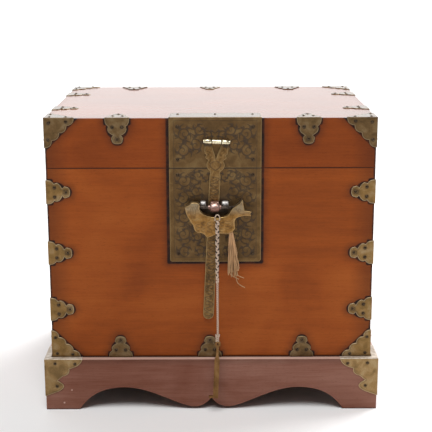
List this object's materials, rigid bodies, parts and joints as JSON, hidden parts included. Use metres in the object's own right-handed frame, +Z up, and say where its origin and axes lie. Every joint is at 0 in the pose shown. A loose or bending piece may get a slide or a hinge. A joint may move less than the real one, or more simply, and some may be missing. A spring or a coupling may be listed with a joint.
{
  "type": "lidded chest",
  "caption": "Wooden lift-lid chest on a scalloped stand, with scalloped brass corners and clips, an engraved lock plate, a hasp and a bird-shaped padlock.",
  "frame": {"origin": "on the ground, below the middle of the box that holds the chest and its lock, the key and cord left out", "axes": "+X to the right as one faces the lock, +Y to the back with the hinges, +Z up"},
  "size_m": [0.5276, 0.4352, 0.4662],
  "materials": {
    "box_wood": "satin varnish",
    "lid_wood": "satin varnish",
    "stand_wood": "satin varnish",
    "aged_brass": "aged, dull",
    "plate_brass": "aged, engraved",
    "hasp_brass": "aged, engraved",
    "lock_brass": "worn",
    "nail_brass": "aged",
    "eye_steel": "polished",
    "key_brass": "aged",
    "cord_cotton": "twisted",
    "tassel_hemp": "frayed"
  },
  "bodies": {
    "chest": {"box_back": "box_wood", "box_bottom": "box_wood", "box_corner_back_left": "aged_brass", "box_corner_back_right": "aged_brass", "box_corner_front_left": "aged_brass", "box_corner_front_right": "aged_brass", "box_front": "box_wood", "box_left": "box_wood", "box_nails": "nail_brass", "box_right": "box_wood", "edge_clips_back_left": "aged_brass", "edge_clips_back_right": "aged_brass", "edge_clips_front_left": "aged_brass", "edge_clips_front_right": "aged_brass", "foot_clips_back": "aged_brass", "foot_clips_front": "aged_brass", "foot_clips_sides": "aged_brass", "lock_eyes": "eye_steel", "lock_plate_lower": "plate_brass", "rear_hinge_left_lower": "aged_brass", "rear_hinge_pins": "aged_brass", "rear_hinge_right_lower": "aged_brass", "rim_strips": "box_wood", "stand_back": "stand_wood", "stand_blocks": "stand_wood", "stand_corner_back_left": "aged_brass", "stand_corner_back_right": "aged_brass", "stand_corner_front_left": "aged_brass", "stand_corner_front_right": "aged_brass", "stand_front": "stand_wood", "stand_left": "stand_wood", "stand_right": "stand_wood"},
    "lid": {"hasp_pin": "hasp_brass", "hasp_staple": "hasp_brass", "lid_back": "lid_wood", "lid_clip_back": "aged_brass", "lid_clips_front": "aged_brass", "lid_clips_sides": "aged_brass", "lid_corner_back_left": "aged_brass", "lid_corner_back_right": "aged_brass", "lid_corner_front_left": "aged_brass", "lid_corner_front_right": "aged_brass", "lid_front": "lid_wood", "lid_left": "lid_wood", "lid_nails": "nail_brass", "lid_right": "lid_wood", "lid_top": "lid_wood", "lock_plate_upper": "plate_brass", "rear_hinge_left_upper": "aged_brass", "rear_hinge_right_upper": "aged_brass"},
    "hasp": {"hasp": "hasp_brass"},
    "lock_bolt": {"lock_bolt": "lock_brass", "lock_springs": "lock_brass"},
    "lock_case": {"lock_case": "lock_brass", "lock_face": "lock_brass", "tassel": "tassel_hemp"},
    "key": {"key": "key_brass", "key_cord": "cord_cotton"}
  },
  "joints": [
    {"name": "lid_hinge", "type": "hinge", "parent": "chest", "child": "lid", "pos_m": [0, 0.20881, 0.38715], "axis": [-1, 0, 0], "range_deg": [0, 105]},
    {"name": "hasp_hinge", "type": "hinge", "parent": "lid", "child": "hasp", "pos_m": [0.0092, -0.19389, 0.428], "axis": [-0.9988, 0, 0.0489], "range_deg": [0, 110]},
    {"name": "lock_swing", "type": "hinge", "parent": "hasp", "child": "lock_bolt", "pos_m": [0.008, -0.20689, 0.33], "axis": [-1, 0, 0], "range_deg": [0, 60]},
    {"name": "lock_slide", "type": "slide", "parent": "lock_bolt", "child": "lock_case", "axis": [1, 0, 0], "range_m": [0, 0.045]},
    {"name": "key_swing", "type": "hinge", "parent": "lock_case", "child": "key", "pos_m": [0.0099, -0.21499, 0.3104], "axis": [-1, 0, 0], "range_deg": [0, 60]}
  ]
}
